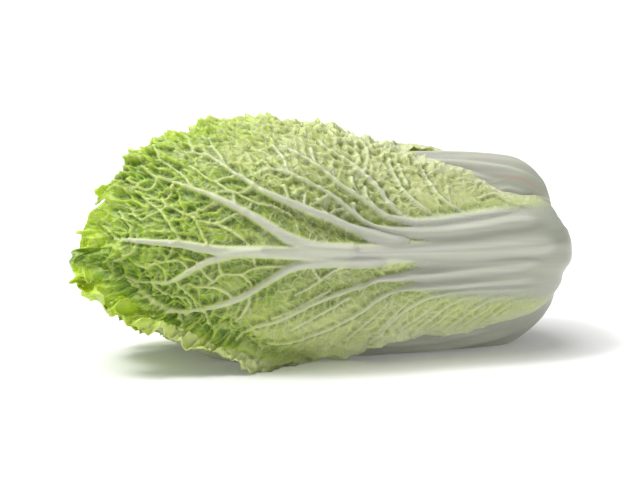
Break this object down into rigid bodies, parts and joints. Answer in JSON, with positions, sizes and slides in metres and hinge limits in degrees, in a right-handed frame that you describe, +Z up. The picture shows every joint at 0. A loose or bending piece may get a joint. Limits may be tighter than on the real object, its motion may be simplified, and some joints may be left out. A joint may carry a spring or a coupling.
{
  "type": "napa cabbage",
  "caption": "Whole napa cabbage lying on its side: cut stem, dense heart, and wrapper leaves with thick white midribs, veined blades and waved margins.",
  "frame": {"origin": "under the middle of the head's box, on the surface that the head lies on", "axes": "+X along the head towards the cut stem, +Y away from the side that the front leaf covers, +Z up"},
  "size_m": [0.3032, 0.1416, 0.139],
  "materials": {
    "cut_stem": "moist cut stem, satin",
    "heart_leaf": "pale yellow-green frilled leaf, soft gloss",
    "wrapper_leaf": "crinkled green leaf with a white midrib, soft gloss"
  },
  "bodies": {
    "root": {"stem": "cut_stem", "heart": "heart_leaf", "leaf_1_front": "wrapper_leaf", "leaf_2_back_high": "wrapper_leaf", "leaf_3_underside": "wrapper_leaf", "leaf_4_top": "wrapper_leaf", "leaf_5_back_low": "wrapper_leaf", "leaf_6_front_inner": "wrapper_leaf", "leaf_7_back_inner": "wrapper_leaf", "leaf_8_underside_inner": "wrapper_leaf"}
  },
  "joints": []
}
